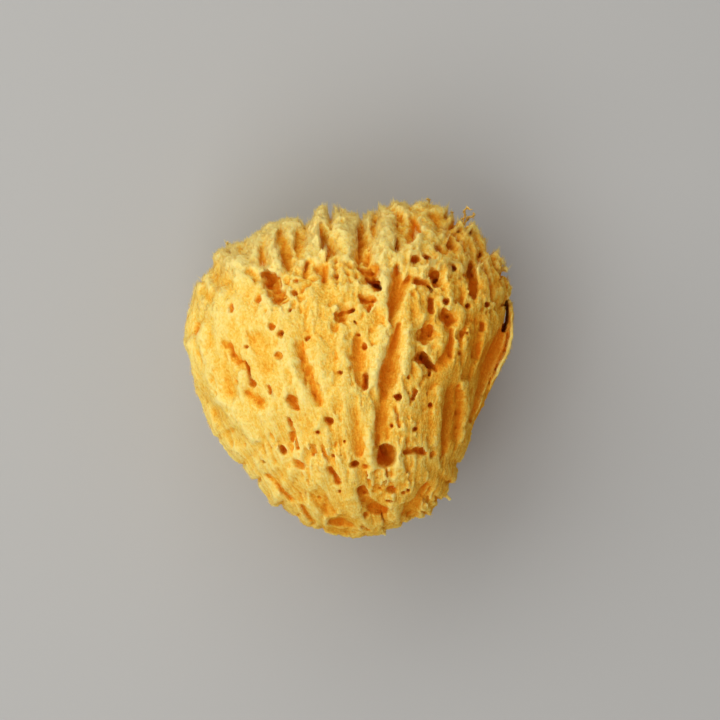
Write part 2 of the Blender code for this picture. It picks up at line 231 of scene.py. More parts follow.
# The flap's thin outer wall: pixels along it, with the height of its upper edge in mm
FLAP_WALL = [
    (502, 294, 36), (508.5, 303, 44), (510, 316, 49), (509, 335, 52), (505, 352, 52),
    (496, 370, 50), (488, 388, 45), (476, 404, 34),
]

# Raised ridges: height over the skin in mm, then stations as x, y, radius in pixels
RIDGES = [
    (1.3, (386, 250, 3), (383, 280, 4.5), (383, 305, 4.5), (388, 326, 2)),
    (1.5, (384, 332, 6), (379, 352, 5), (374, 372, 3.4), (372, 385, 1.8)),
    (1.4, (405, 292, 4), (402, 330, 6), (406, 350, 6), (402, 372, 3.4)),
    (1, (343, 330, 4), (344, 362, 5), (346, 396, 4)),
    (1.2, (288, 338, 4.5), (295, 362, 5), (305, 392, 4.5)),
    (1, (318, 350, 7), (326, 380, 6), (332, 400, 4)),
    (1.2, (372, 410, 4), (369, 436, 4), (371, 462, 3)),
    (1.2, (435, 388, 4), (432, 415, 4.4), (432, 440, 3.6)),
    (1, (462, 385, 4.5), (464, 410, 4.5), (459, 436, 4)),
    (1.6, (350, 218, 7), (349, 240, 7), (347, 262, 5)),
    (1.8, (323, 212, 4), (314, 232, 5), (313, 250, 6.5), (319, 266, 4)),
    (1.2, (293, 228, 4), (294, 244, 4)), (1.4, (280, 254, 2.4), (283, 276, 2.4)),
    (1.4, (273, 258, 4), (276, 264, 3)), (1.4, (388, 216, 7), (385, 236, 6)),
    (1.4, (425, 214, 5), (428, 240, 6), (424, 252, 5)), (1.2, (262, 240, 6), (258, 258, 5)),
    (1.2, (240, 264, 9), (244, 278, 7)),
    (1.8, (471, 230, 2.4), (479, 246, 3.4), (486, 262, 3.4), (492, 278, 3)),
    (1.8, (494, 256, 2.4), (501, 270, 3.2), (506, 286, 2.6)),
    (1.4, (458, 228, 2.2), (466, 244, 2.6), (476, 266, 2.6)), (1.2, (446, 292, 8), (442, 304, 6)),
    (1, (222, 300, 9), (226, 326, 7)), (1, (205, 335, 9), (212, 362, 8)),
    (1, (238, 410, 8), (256, 432, 7)), (1.2, (396, 462, 4), (392, 474, 3)),
    (1, (352, 494, 5), (354, 510, 4)), (1, (398, 498, 5), (394, 514, 5)),
]

# Small tufts past the outline: x, y and radius in pixels
SMALL_TUFTS = [
    (427, 204, 3), (276, 504, 4), (453, 216, 1.6), (494, 256, 2.4), (449, 498, 2), (229, 245, 2),
    (431, 511, 2.4), (343, 211, 3), (336, 211, 3), (385, 534, 2),
]

# Single long fibres that curl off the outline, in pixels
LOOSE_FIBRES = [
    [(461, 228), (462, 221), (465, 216), (464, 211), (467, 208), (471, 211)],
    [(462, 227), (466, 221), (468, 218), (472, 217), (473, 214)],
    [(452, 222), (453, 216), (451, 212)],
    [(229, 250), (227, 245), (228, 241)],
    [(320, 214), (319, 209), (322, 206)],
    [(428, 205), (430, 200), (427, 199)],
]

# Notches in the outline: x, y, half-width and depth, in pixels
NOTCHES = [
    (304, 222, 3, 4.5), (330, 208, 3.5, 11), (362, 210, 4, 9), (376, 209, 2.5, 6), (459, 218, 3, 9),
    (467, 222, 2.5, 9), (488, 249, 2.2, 8), (506, 272, 2.5, 6), (508, 303, 2, 4), (321, 535, 3, 5),
    (280, 508, 3, 4), (385, 534, 2, 3), (350, 210, 2.5, 3.5), (388, 206, 2, 3), (412, 203, 2, 3),
    (450, 213, 2, 4), (243, 240, 2.5, 3), (226, 249, 2, 3), (199, 281, 2, 3), (475, 229, 2, 4),
    (297, 520, 2, 3.5), (311, 530, 2, 3), (350, 542, 2.5, 3), (404, 527, 2.5, 4.5),
    (416, 520, 2, 3.5), (440, 503, 2.5, 4.5), (452, 486, 2.5, 4.5), (256, 482, 2, 3.5),
    (240, 466, 2, 3), (366, 540, 2, 3), (426, 516, 1.6, 3.5), (460, 466, 2, 3.5),
]

# How each kind of stroke is cut: how upright its axis is and how far it leans, how wide its rim is
# rounded, its raggedness, how steep its sides are, and the share of its depth that is cut
CUTS = [
    (VALLEYS, 0.5, -0.4, 1.5, 0.6, 0.9, 0.8),
    (VALLEYS_TO_THE_RIGHT, 0.5, 0.4, 1.5, 0.6, 0.9, 0.8),
    (TROUGHS, 0.5, -0.15, 0.8, 0.35, 1.5, 0.5),
    (MOUTHS, 0.6, 0.2, 0.6, 1.25, 2.0, 0.6),
    (OSCULUM, 0.5, 0.0, 0.5, 0.5, 2.4, 0.6),
    (CUT_STRAIGHT_DOWN, 1.0, 0.0, 0.4, 0.3, 3.0, 0.7),
]
WIDER_AT_THE_SKIN = 1.22
LEAST_DEPTH = 1.2
FULLY_RAGGED_RADIUS = 2.2

VOXEL = 0.42
BODY_TRIANGLES = 196_000
FELT_FIBRES = 48_500
CLUMPS = 4_850
FIBRES_IN_A_CLUMP = 10
FELT_SEED, CLUMP_SEED, LOOSE_SEED = 31, 41, 61
FLOOR_COLOUR = (0.46, 0.46, 0.45, 1.0)


def gradients():
    """Unit vectors for the noise lattice, and the order in which it takes them."""
    random = np.random.default_rng(5)
    slopes = random.normal(size=(256, 3))
    slopes /= np.linalg.norm(slopes, axis=1, keepdims=True)
    return slopes.T.astype(np.float32).copy(), random.permutation(256).astype(np.int32)


SLOPES, ORDER = gradients()
THREADS = 4
CHUNK = 1 << 16


def noise_of_chunk(x, y, z):
    whole = [np.floor(a).astype(np.int32) for a in (x, y, z)]
    part = [(a - w).astype(np.float32) for a, w in zip((x, y, z), whole)]
    ease = [p * p * p * (p * (p * 6 - 15) + 10) for p in part]
    near = [(1 - e, e) for e in ease]
    total = np.zeros_like(part[0])
    for i in (0, 1):
        order_x = ORDER[(whole[0] + i) & 255]
        for j in (0, 1):
            order_y = ORDER[(order_x + whole[1] + j) & 255]
            share = near[0][i] * near[1][j]
            for k in (0, 1):
                order_z = ORDER[(order_y + whole[2] + k) & 255]
                dot = SLOPES[0][order_z] * (part[0] - i)
                dot += SLOPES[1][order_z] * (part[1] - j)
                dot += SLOPES[2][order_z] * (part[2] - k)
                total += share * near[2][k] * dot
    return total * 1.6


def noise(x, y, z):
    """Gradient noise, one cell to the unit, from about -1 to 1."""
    out = np.empty(len(x), np.float32)

    def fill(start):
        span = slice(start, start + CHUNK)
        out[span] = noise_of_chunk(x[span], y[span], z[span])

    with ThreadPoolExecutor(THREADS) as pool:
        list(pool.map(fill, range(0, len(x), CHUNK)))
    return out


def smoothstep(low, high, value):
    t = np.clip((value - low) / (high - low), 0, 1)
    return t * t * (3 - 2 * t)


def unit(vectors):
    return vectors / np.maximum(np.linalg.norm(vectors, axis=-1, keepdims=True), 1e-9)


def plan(x, y):
    """A pixel of the photograph as the part's X and Y in millimetres."""
    return (x - ORIGIN_PIXEL[0]) * MM_PER_PIXEL, (ORIGIN_PIXEL[1] - y) * MM_PER_PIXEL


def outline_table(steps=1440):
    """The outline's radius at even angles, its corners a little rounded."""
    points = np.array([plan(x, y) for x, y in OUTLINE])
    angle = np.arctan2(points[:, 1], points[:, 0]) % (2 * np.pi)
    order = np.argsort(angle)
    radius = np.linalg.norm(points, axis=1)[order] - FUZZ
    even = np.arange(steps) * 2 * np.pi / steps
    table = np.interp(even, angle[order], radius, period=2 * np.pi)
    for _ in range(2):
        table = (np.roll(table, 1) + table + np.roll(table, -1)) / 3
    return np.append(even, 2 * np.pi), np.append(table, table[0])


OUTLINE_ANGLE, OUTLINE_RADIUS = outline_table()


def share_across(x, y):
    """Distance from the middle in plan, as a share of the outline's radius that way."""
    radius = np.interp(np.arctan2(y, x) % (2 * np.pi), OUTLINE_ANGLE, OUTLINE_RADIUS)
    return np.hypot(x, y) / radius


def form_scale(points):
    """How far each point lies from the centre, as a share of the way to the plain form's skin."""
    x, y, z = (points - CENTRE).T
    depth = np.where(z > 0, HEIGHT - CENTRE_HEIGHT, UNDER_DEPTH)
    return (share_across(x, y) ** FULLNESS + np.abs(z / depth) ** FULLNESS) ** (1 / FULLNESS)


def on_form(points):
    return CENTRE + (points - CENTRE) / form_scale(points)[:, None]


def inward(points):
    """The plain form's unit normals at points on it, pointing in."""
    step = 1.5
    slope = np.stack(
        [form_scale(points + d) - form_scale(points - d) for d in np.eye(3) * step], axis=1
    )
    return -unit(slope)


def on_top(x, y):
    """The point of the plain form's upper skin at a pixel of the photograph."""
    x, y = plan(x, y)
    across = min(share_across(x, y), 0.985)
    rise = (HEIGHT - CENTRE_HEIGHT) * (1 - across**FULLNESS) ** (1 / FULLNESS)
    return np.array([x, y, CENTRE_HEIGHT + rise])


class Grid:
    """Values at the corners of cubes, from one low corner up."""

    def __init__(self, low, high, voxel):
        self.low = np.array(low, float)
        self.voxel = voxel
        self.axes = [np.arange(l, h, voxel).astype(np.float32) for l, h in zip(low, high)]
        self.shape = tuple(len(a) for a in self.axes)

    def slices(self, low, high):
        """The part of the grid inside a box."""
        first = np.floor((np.array(low) - self.low) / self.voxel).astype(int)
        last = np.ceil((np.array(high) - self.low) / self.voxel).astype(int) + 1
        return tuple(slice(max(a, 0), max(b, 0)) for a, b in zip(first, last))

    def points(self, span):
        """X, Y and Z over a part of the grid, ready to broadcast."""
        x, y, z = (axis[s] for axis, s in zip(self.axes, span))
        return x[:, None, None], y[None, :, None], z[None, None, :]

    def sample(self, values, points):
        """Values between the corners, each the blend of the eight around it."""
        place = (points - self.low) / self.voxel
        limit = np.array(self.shape) - 2
        cell = np.clip(np.floor(place).astype(int), 0, limit)
        part = np.clip(place - cell, 0, 1)
        total = np.zeros(len(points))
        for i in (0, 1):
            for j in (0, 1):
                for k in (0, 1):
                    share = np.ones(len(points))
                    for axis, step in enumerate((i, j, k)):
                        share *= part[:, axis] if step else 1 - part[:, axis]
                    total += share * values[cell[:, 0] + i, cell[:, 1] + j, cell[:, 2] + k]
        return total


def distance_to_form(grid):
    """About the distance to the plain form's skin, negative inside."""
    x, y, z = grid.points((slice(None),) * 3)
    across = share_across(x[:, :, 0], y[:, :, 0])
    depth = np.where(z > CENTRE_HEIGHT, HEIGHT - CENTRE_HEIGHT, UNDER_DEPTH)
    tall = np.abs((z - CENTRE_HEIGHT) / depth) ** FULLNESS
    scale = (across[:, :, None] ** FULLNESS + tall).astype(np.float32) ** (1 / FULLNESS)
    slope = np.sqrt(sum(g * g for g in np.gradient(scale, grid.voxel)))
    return (scale - 1) / np.maximum(slope, 0.012)


def along_fan(points, width, run, shift=0.0):
    """Noise coordinates in which a flute is one cell wide and one cell long."""
    x, y, z = (p - o for p, o in zip(points, FAN_ORIGIN))
    distance = np.sqrt(x * x + y * y + z * z)
    return x / distance / width + shift, z / distance / width - shift, distance / run + shift


def crest(value):
    """Turns noise into sharp crests with round valleys between them."""
    return 0.8 - 2.4 * np.sqrt(value * value + 0.002)


def crumbliness(x, y, z):
    """How crumbly the skin is, from 0 where it is smooth to 1."""
    mask = 0.5 * smoothstep(0.0, 0.35, noise(x / 16 + 9.1, y / 16, z / 16))
    upper = smoothstep(30.0, 42.0, z)
    for pixel_x, pixel_y, radius in CRUMBLY:
        middle = plan(pixel_x, pixel_y)
        far = np.hypot(x - middle[0], y - middle[1]) / (radius * MM_PER_PIXEL)
        mask = np.maximum(mask, upper * smoothstep(1.0, 0.4, far))
    return mask


def relief(points):
    """Height of the fluted, felted relief over the plain form."""
    x, y, z = points
    sway = [noise(x / 17 + s, y / 17, z / 17) for s in (3.1, 17.7, 41.3)]
    swayed = [p + 2.2 * s for p, s in zip(points, sway)]
    crown = smoothstep(CROWN_FROM, CROWN_TO, y)
    flute = crest(noise(*along_fan(swayed, *FLUTE)))
    rib = crest(noise(*along_fan(swayed, *RIB)))
    streak = crest(noise(*along_fan(swayed, *STREAK)))
    thread = noise(*along_fan(points, *THREAD))
    lump = noise(x / 24 + 5.5, y / 24, z / 24)
    crumb = noise(x / 1.1, y / 1.1 + 7.7, z / 1.1)
    height = (0.75 + 0.6 * crown) * flute + (0.4 + 0.4 * crown) * rib
    height += (0.28 + 0.22 * crown) * streak + (0.2 + 0.3 * crown) * thread
    # Calmer on the left, at the tip and at the lower right
    left = smoothstep(-12.0, -34.0, x)
    tip = smoothstep(-30.0, -46.0, y) * smoothstep(38.0, 48.0, z)
    right = smoothstep(18.0, 32.0, x) * smoothstep(8.0, -8.0, y) * smoothstep(38.0, 48.0, z)
    calm = 1 - np.maximum(0.6 * left, np.maximum(0.5 * tip, 0.45 * right))
    pit = smoothstep(0.16, 0.60, noise(*along_fan(swayed, *LONG_PITS)))
    nick = smoothstep(0.16, 0.60, noise(x / 1.9 + 3.3, y / 2.6, z / 1.9))
    rough = (1 - 0.7 * crown) * (0.35 + 0.85 * crumbliness(x, y, z)) * (1 - 0.4 * tip)
    height -= rough * (1.2 * pit + 0.75 * nick)
    mound = noise(*along_fan(swayed, *MOUNDS))
    height = smooth_max(calm * height, -2.4, 1.0)
    return height + 1.2 * lump + 1.4 * left * mound + (0.1 + 0.15 * rough) * crumb


def warp_arrays(grid):
    """Small shifts of X, Y and Z over the grid, which make the rims of pores ragged."""
    coarse = Grid(grid.low, [a[-1] + 2 * grid.voxel for a in grid.axes], grid.voxel * 2)
    x, y, z = (a.ravel() for a in np.meshgrid(*coarse.axes, indexing="ij"))
    made = []
    for shift in (0.0, 31.3, 67.9):
        value = 0.9 * noise(x / 4.2 + shift, y / 4.2, z / 4.2)
        value += 1.0 * noise(x / 1.8, y / 1.8 + shift, z / 1.8)
        value = value.reshape(coarse.shape)
        for axis in range(3):
            between = value + np.roll(value, -1, axis)
            value = np.stack([value, between / 2], axis=axis + 1)
            shape = list(value.shape)
            shape[axis : axis + 2] = [shape[axis] * 2]
            value = value.reshape(shape)
        made.append(value[tuple(slice(n) for n in grid.shape)].astype(np.float32))
    return made


def smooth_max(a, b, width):
    h = np.clip(0.5 + 0.5 * (a - b) / width, 0, 1)
    return b + (a - b) * h + width * h * (1 - h)


def carve(grid, field, warp, stations, radii, axis, depth, raggedness=1.0, rim=0.5, bowl=3.0):
    """Cuts a slot along stations on the skin, going in along the axis.

    A bowl of 1 has sloping sides, and a larger one is steeper with a flatter floor.
    """
    stations = np.asarray(stations, float)
    radii = np.asarray(radii, float)
    depths = np.broadcast_to(depth, radii.shape) * (radii / radii.max()) ** 0.6
    axis = unit(np.asarray(axis, float))
    reach = radii.max() + 2.0
    ends = np.concatenate([stations - 5.0 * axis, stations + (depths.max() + 0.5) * axis])
    span = grid.slices(ends.min(axis=0) - reach, ends.max(axis=0) + reach)
    x, y, z = grid.points(span)
    if raggedness:
        x, y, z = (p + raggedness * w[span] for p, w in zip((x, y, z), warp))
    best = None
    for k in range(max(len(stations) - 1, 1)):
        start, end = stations[k], stations[min(k + 1, len(stations) - 1)]
        small, large = radii[k], radii[min(k + 1, len(radii) - 1)]
        first, last = depths[k], depths[min(k + 1, len(depths) - 1)]
        run = end - start
        rise = run @ axis
        flat = run - rise * axis
        from_start = [p - s for p, s in zip((x, y, z), start)]
        inside = sum(p * a for p, a in zip(from_start, axis))
        t = sum(p * f for p, f in zip(from_start, flat)) / max(flat @ flat, 1e-6)
        t = np.clip(t, 0, 1)
        below = inside - t * rise
        square = sum(
            (p - inside * a - t * f) ** 2 for p, a, f in zip(from_start, axis, flat)
        )
        radius = small + t * (large - small)
        deep = first + t * (last - first)
        taper = np.sqrt(1 - np.clip(below / deep, 0, 1) ** bowl)
        flare = 1 + 0.12 * np.clip(-below, 0, 4)
        past = np.clip(below - deep, 0, None)
        share = np.sqrt(square + past**2) - radius * taper * flare
        best = share if best is None else np.minimum(best, share)
    field[span] = smooth_max(field[span], -best, rim)


def cut_upper_strokes(grid, field, warp):
    """Cuts the strokes, those that lean ever shallower towards the outline."""
    for strokes, upright, lean, rim, raggedness, bowl, share in CUTS:
        for depth, *stations in strokes:
            places = np.array([on_top(x, y) for x, y, _ in stations])
            radii = [WIDER_AT_THE_SKIN * r * MM_PER_PIXEL for _, _, r in stations]
            axis = (1 - upright) * inward(places).mean(axis=0) + [lean, 0, -upright]
            inside = np.array([1 - share_across(*plan(x, y)) for x, y, _ in stations])
            edge = 0.3 + 0.7 * smoothstep(0.0, 0.16, inside) if lean else 1.0
            deep = np.maximum(depth * share * edge, LEAST_DEPTH)
            ragged = raggedness * np.clip(max(radii) / FULLY_RAGGED_RADIUS, 0.35, 1)
            carve(grid, field, warp, places, radii, axis, deep, ragged, rim, bowl)


def cut_notches(grid, field, warp):
    """Upright wedges in the outline between the tufts."""
    for x, y, half, deep in NOTCHES:
        outer = np.array([*plan(x, y), CENTRE_HEIGHT])
        inner = outer * (1 - deep * MM_PER_PIXEL / np.hypot(*outer[:2])) * [1, 1, 0]
        inner[2] = CENTRE_HEIGHT
        for rise in (-14.0, -7.0, 0.0, 7.0, 14.0):
            lift = np.array([0, 0, rise])
            in_by = (1 - (abs(rise) / UNDER_DEPTH) ** FULLNESS) ** (1 / FULLNESS)
            carve(
                grid, field, warp, [outer * [in_by, in_by, 1] + lift, inner * [in_by, in_by, 1] + lift],
                [half * MM_PER_PIXEL * 1.3, half * MM_PER_PIXEL * 0.4], [0, 0, -1], 6.0, 0.8, 0.6,
            )


def add_capsules(grid, field, warp, places, radii, blend, raggedness=0.5):
    """Joins a chain of round rods to the body, with a soft fillet."""
    for start, end, small, large in zip(places, places[1:], radii, radii[1:]):
        reach = max(small, large) + blend + 2.0
        span = grid.slices(np.minimum(start, end) - reach, np.maximum(start, end) + reach)
        place = [p + raggedness * w[span] for p, w in zip(grid.points(span), warp)]
        run = end - start
        from_start = [p - s for p, s in zip(place, start)]
        t = sum(p * r for p, r in zip(from_start, run)) / max(run @ run, 1e-6)
        t = np.clip(t, 0, 1)
        gap = np.sqrt(sum((p - t * r) ** 2 for p, r in zip(from_start, run)))
        rod = gap - (small + t * (large - small))
        field[span] = -smooth_max(-field[span], -rod, blend)


def add_ridges(grid, field, warp):
    for height, *stations in RIDGES:
        places = np.array([on_top(x, y) for x, y, _ in stations])
        radii = np.array([r * MM_PER_PIXEL for _, _, r in stations])
        height = 0.75 * height
        rounds = (radii**2 + height**2) / (2 * height)
        places += (rounds - height)[:, None] * inward(places)
        add_capsules(grid, field, warp, places, rounds, 1.4, 0.8)


def add_flap(grid, field, warp):
    """The thin wall at the right: a sheet that grows out of the skin and ends in a thin edge."""
    wall = np.array([(*plan(x, y), top) for x, y, top in FLAP_WALL])
    span = grid.slices([*wall.min(axis=0)[:2] - 4, 12], wall.max(axis=0) + 3)
    x, y, z = (p + 0.35 * w[span] for p, w in zip(grid.points(span), warp))
    streak = crest(noise(*along_fan([p.ravel() for p in (x, y, z)], *FLAP_STREAK)))
    streak = streak.reshape(x.shape)
    below = np.clip((CENTRE_HEIGHT - z) / UNDER_DEPTH, 0, 1)
    narrower = (1 - below**FULLNESS) ** (1 / FULLNESS)
    x, y = x / narrower, y / narrower
    best = None
    for start, end in zip(wall, wall[1:]):
        run = (end - start)[:2]
        t = np.clip(((x - start[0]) * run[0] + (y - start[1]) * run[1]) / (run @ run), 0, 1)
        gap = np.hypot(x - start[0] - t * run[0], y - start[1] - t * run[1])
        top = start[2] + t * (end[2] - start[2])
        half = 0.9 - 0.5 * np.clip((z - 28.0) / np.maximum(top - 28.0, 4.0), 0, 1)
        half = (half + 0.3 * half * streak) * smoothstep(14.0, 30.0, z) - 0.6 * smoothstep(26.0, 14.0, z)
        sheet = smooth_max(smooth_max(gap - half, z - top - 0.7 * streak, 0.5), 14.0 - z, 0.5)
        best = sheet if best is None else np.minimum(best, sheet)
    field[span] = -smooth_max(-field[span], -best, 0.8)


def add_small_tufts(grid, field, warp):
    for x, y, radius in SMALL_TUFTS:
        outer = np.array([*plan(x, y), CENTRE_HEIGHT + 1.0])
        inner = outer * [0.93, 0.93, 1.0]
        size = radius * MM_PER_PIXEL
        add_capsules(grid, field, warp, [inner, outer], [size * 1.3, size * 0.8], 0.6, 0.6)


def scattered(count, gap, seed, allowed):
    """Points on the plain form, at random and at least a gap apart."""
    random = np.random.default_rng(seed)
    points = on_form(CENTRE + random.normal(size=(count, 3)))
    points = points[allowed(points)]
    cells = {}
    kept = []
    for point in points:
        cell = tuple((point // gap).astype(int))
        around = (
            other
            for i in (-1, 0, 1)
            for j in (-1, 0, 1)
            for k in (-1, 0, 1)
            for other in cells.get((cell[0] + i, cell[1] + j, cell[2] + k), ())
        )
        if all(((point - other) ** 2).sum() > gap * gap for other in around):
            cells.setdefault(cell, []).append(point)
            kept.append(point)
    return np.array(kept)


def cut_scattered(grid, field, warp, count, gap, radius, depth, stretch, seed, allowed, rim=0.4):
    """Round and slit-like pores, their long way along the flutes."""
    random = np.random.default_rng(seed + 1)
    points = scattered(count, gap, seed, allowed)
    inner = inward(points)
    flute = unit(points - FAN_ORIGIN)
    for point, down, along in zip(points, inner, flute):
        size = random.uniform(*radius)
        half = 0.5 * size * random.uniform(*stretch)
        along = along - (along @ down) * down
        tilt = unit(down + 0.35 * random.normal(size=3))
        ends = [point - half * along, point + half * along]
        carve(grid, field, warp, ends, [size, size * 0.8], tilt, random.uniform(*depth), 0.6, rim)


def soft_hollows(grid):
    """How far the soft hollows lower the upper skin, over the grid's plan."""
    x, y = np.meshgrid(*grid.axes[:2], indexing="ij")
    lowered = np.zeros(x.size)
    for depth, *stations in SOFT_HOLLOWS:
        lowered = np.maximum(lowered, depth * cover(x.ravel(), y.ravel(), stations))
    return lowered.reshape(x.shape).astype(np.float32)


def crown_side(points):
    """The lower part of the broad end."""
    return (inward(points)[:, 1] < -0.45) & (points[:, 1] > 25) & (points[:, 2] < 27)


def lower_half(points):
    """The lower half, but for the middle of the underside."""
    x, y, z = points.T
    return (inward(points)[:, 2] > 0.06) & (np.hypot(x, y) + z > 22)


# Pores away from the upper side: how many to try, the gap between them in mm, then the ranges of radius,
# depth and length for the width, the seed, and where they are allowed
PORES = [
    (900, 15.0, (2.4, 3.8), (7, 12), (0.2, 1.2), 11, crown_side),
    (4000, 8.5, (1.2, 2.2), (3.0, 5.5), (0.2, 2.6), 12, lower_half),
    (9000, 5.5, (0.6, 1.0), (1.5, 3.0), (0.2, 3.0), 13, lower_half),
]


def sponge_field(grid):
    """The solid's field, and the plain form's distance, both negative inside."""
    form = distance_to_form(grid)
    field = form.copy()
    band = np.flatnonzero(((form > -8.0) & (form < 6.0)).ravel())
    index = np.unravel_index(band, grid.shape)
    points = [axis[i] for axis, i in zip(grid.axes, index)]
    lowered = soft_hollows(grid)[index[0], index[1]] * smoothstep(30.0, 42.0, points[2])
    field.ravel()[band] -= relief(points) - lowered
    rest = 0.15
    field = smooth_max(field, rest - grid.points((slice(None),) * 3)[2], 0.8)
    warp = warp_arrays(grid)
    cut_notches(grid, field, warp)
    add_ridges(grid, field, warp)
    cut_upper_strokes(grid, field, warp)
    add_flap(grid, field, warp)
    add_small_tufts(grid, field, warp)
    for pores in PORES:
        cut_scattered(grid, field, warp, *pores)
    return field, form


def surface_of(grid, field):
    """The field's surface as points and triangles, its largest piece only."""
    volume = openvdb.FloatGrid()
    volume.copyFromArray(np.ascontiguousarray(field, np.float32))
    points, quads = volume.convertToQuads(isovalue=0.0)
    points = points * grid.voxel + grid.low
    label = np.arange(len(points))
    ends = np.concatenate([quads[:, [0, 1]], quads[:, [1, 2]], quads[:, [2, 3]], quads[:, [3, 0]]])
    while True:
        lowest = label.copy()
        np.minimum.at(lowest, ends[:, 0], label[ends[:, 1]])
        np.minimum.at(lowest, ends[:, 1], label[ends[:, 0]])
        lowest = lowest[lowest]
        if (lowest == label).all():
            break
        label = lowest
    biggest = np.bincount(label).argmax()
    keep = label == biggest
    quads = quads[keep[quads[:, 0]]]
    order = np.cumsum(keep) - 1
    return points[keep], order[quads]


def mesh_of(name, points, faces):
    mesh = bpy.data.meshes.new(name)
    sides = faces.shape[1]
    mesh.vertices.add(len(points))
    mesh.vertices.foreach_set("co", (points * MM).astype(np.float32).ravel())
    mesh.loops.add(faces.size)
    mesh.loops.foreach_set("vertex_index", faces.astype(np.int32).ravel())
    mesh.polygons.add(len(faces))
    mesh.polygons.foreach_set("loop_start", np.arange(0, faces.size, sides, dtype=np.int32))
    mesh.update(calc_edges=True)
    return mesh


def box_blur(values, width):
    """The mean over a cube of this many corners a side."""
    for axis in range(3):
        pad = [(0, 0)] * 3
        pad[axis] = (width // 2 + 1, width // 2)
        total = np.cumsum(np.pad(values, pad, mode="edge"), axis=axis, dtype=np.float32)
        upper = np.take(total, range(width, total.shape[axis]), axis)
        lower = np.take(total, range(total.shape[axis] - width), axis)
        values = (upper - lower) / width
    return values


def points_of(mesh):
    points = np.empty(len(mesh.vertices) * 3, np.float32)
    mesh.vertices.foreach_get("co", points)
    return points.reshape(-1, 3) / MM


def triangles_of(mesh):
    mesh.calc_loop_triangles()
    faces = np.empty(len(mesh.loop_triangles) * 3, np.int32)
    mesh.loop_triangles.foreach_get("vertices", faces)
    return faces.reshape(-1, 3)


def thinned(mesh, triangles):
    """The mesh with its flatter triangles merged down to a number of them."""
    holder = bpy.data.objects.new("holder", mesh)
    bpy.context.scene.collection.objects.link(holder)
    thin = holder.modifiers.new("thin", "DECIMATE")
    thin.ratio = triangles / len(triangles_of(mesh))
    graph = bpy.context.evaluated_depsgraph_get()
    made = bpy.data.meshes.new_from_object(holder.evaluated_get(graph))
    bpy.data.objects.remove(holder)
    bpy.data.meshes.remove(mesh)
    return made


def set_attribute(mesh, name, values):
    layer = mesh.attributes.new(name, "FLOAT", "POINT")
    layer.data.foreach_set("value", values.astype(np.float32))


def add_piece(mesh, material):
    piece = bpy.data.objects.new(mesh.name, mesh)
    bpy.context.scene.collection.objects.link(piece)
    mesh.materials.append(material)
    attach(piece, "root")
    return piece


def cover(x, y, stations):
    """How far a stroke covers places in plan, from 0 outside to 1 along its middle."""
    stations = [(*plan(a, b), r * MM_PER_PIXEL) for a, b, r in stations]
    covered = np.zeros(len(x))
    for start, end in zip(stations, stations[1:] + stations[-1:]):
        run = np.array(end[:2]) - start[:2]
        from_start = x - start[0], y - start[1]
        t = (from_start[0] * run[0] + from_start[1] * run[1]) / max(run @ run, 1e-6)
        t = np.clip(t, 0, 1)
        gap = np.hypot(from_start[0] - t * run[0], from_start[1] - t * run[1])
        radius = start[2] + t * (end[2] - start[2])
        covered = np.maximum(covered, smoothstep(1.5, 0.3, gap / radius))
    return covered


def painted_shade_and_light(points):
    """The painted shade and painted light of the patches, and the painted shade along the valleys of the
    upper side.
    """
    x, y, z = points.T
    total = np.zeros(len(points))
    for amount, *stations in PAINTED_SHADE_AND_LIGHT:
        total += amount * cover(x, y, stations)
    # Painted shade along every valley
    for _, *stations in VALLEYS + VALLEYS_TO_THE_RIGHT:
        total += 0.07 * cover(x, y, stations)
    return total * smoothstep(22.0, 34.0, z)


class Shade:
    """How shut in and how deep each place is, which sets its colour as painted shade: deeper in the
    hollows, paler on what stands out.
    """

    def __init__(self, grid, field, form):
        self.grid = grid
        solid = np.clip(0.5 - field / grid.voxel, 0, 1)
        near = box_blur(solid, 5)
        self.filled = 0.5 * near + 0.5 * box_blur(near, 13)
        self.form = form

    def at(self, points):
        shut_in = self.grid.sample(self.filled, points)
        depth = -self.grid.sample(self.form, points)
        x, y, _ = points.T
        # Painted shade, deeper in colour to the right and at the tip, and painted light, paler to the left
        # and on the crown
        place = 0.19 * smoothstep(4.0, 42.0, x)
        place += 0.06 * smoothstep(-20.0, -48.0, y) - 0.10 * smoothstep(0.0, -38.0, x)
        place -= 0.13 * smoothstep(20.0, 42.0, y) * smoothstep(40.0, 0.0, x)
        # Painted shade deepens the colour where a place is shut in, and painted light makes it paler where
        # it stands out
        closed = shut_in - 0.55
        closed = np.where(closed < 0, 1.05, 1.7 - 0.35 * smoothstep(0.0, -38.0, x)) * closed
        # Painted shade also deepens with the depth below the plain form
        return 0.445 + closed + 0.06 * (depth - 0.6) + place + painted_shade_and_light(points)


def sample_surface(points, faces, count, weight, random):
    """Places and normals at random over the surface, more of them where the weight is high."""
    corner = points[faces]
    cross = np.cross(corner[:, 1] - corner[:, 0], corner[:, 2] - corner[:, 0])
    chance = np.linalg.norm(cross, axis=1) * weight(corner.mean(axis=1), unit(cross))
    chosen = random.choice(len(faces), count, p=chance / chance.sum())
    share = random.random((count, 2))
    fold = share.sum(axis=1) > 1
    share[fold] = 1 - share[fold]
    corner = corner[chosen]
    place = corner[:, 0] + share[:, :1] * (corner[:, 1] - corner[:, 0])
    place = place + share[:, 1:] * (corner[:, 2] - corner[:, 0])
    return place, unit(cross[chosen])


def spikes(place, direction, length, width, random):
    """Closed fibres of four triangles, a base and three sides that meet in the tip."""
    count = len(place)
    side = unit(np.cross(direction, random.normal(size=(count, 3))))
    other = np.cross(direction, side)
    turn = np.arange(3) * 2 * np.pi / 3
    ring = np.cos(turn)[None, :, None] * side[:, None] + np.sin(turn)[None, :, None] * other[:, None]
    root = place - 0.12 * length[:, None] * direction
    tip = place + 0.88 * length[:, None] * direction
    points = np.concatenate([root[:, None] + ring * width[:, None, None], tip[:, None]], axis=1)
    faces = np.array([(0, 2, 1), (0, 1, 3), (1, 2, 3), (2, 0, 3)])
    faces = (np.arange(count)[:, None, None] * 4 + faces).reshape(-1, 3)
    return points.reshape(-1, 3), faces


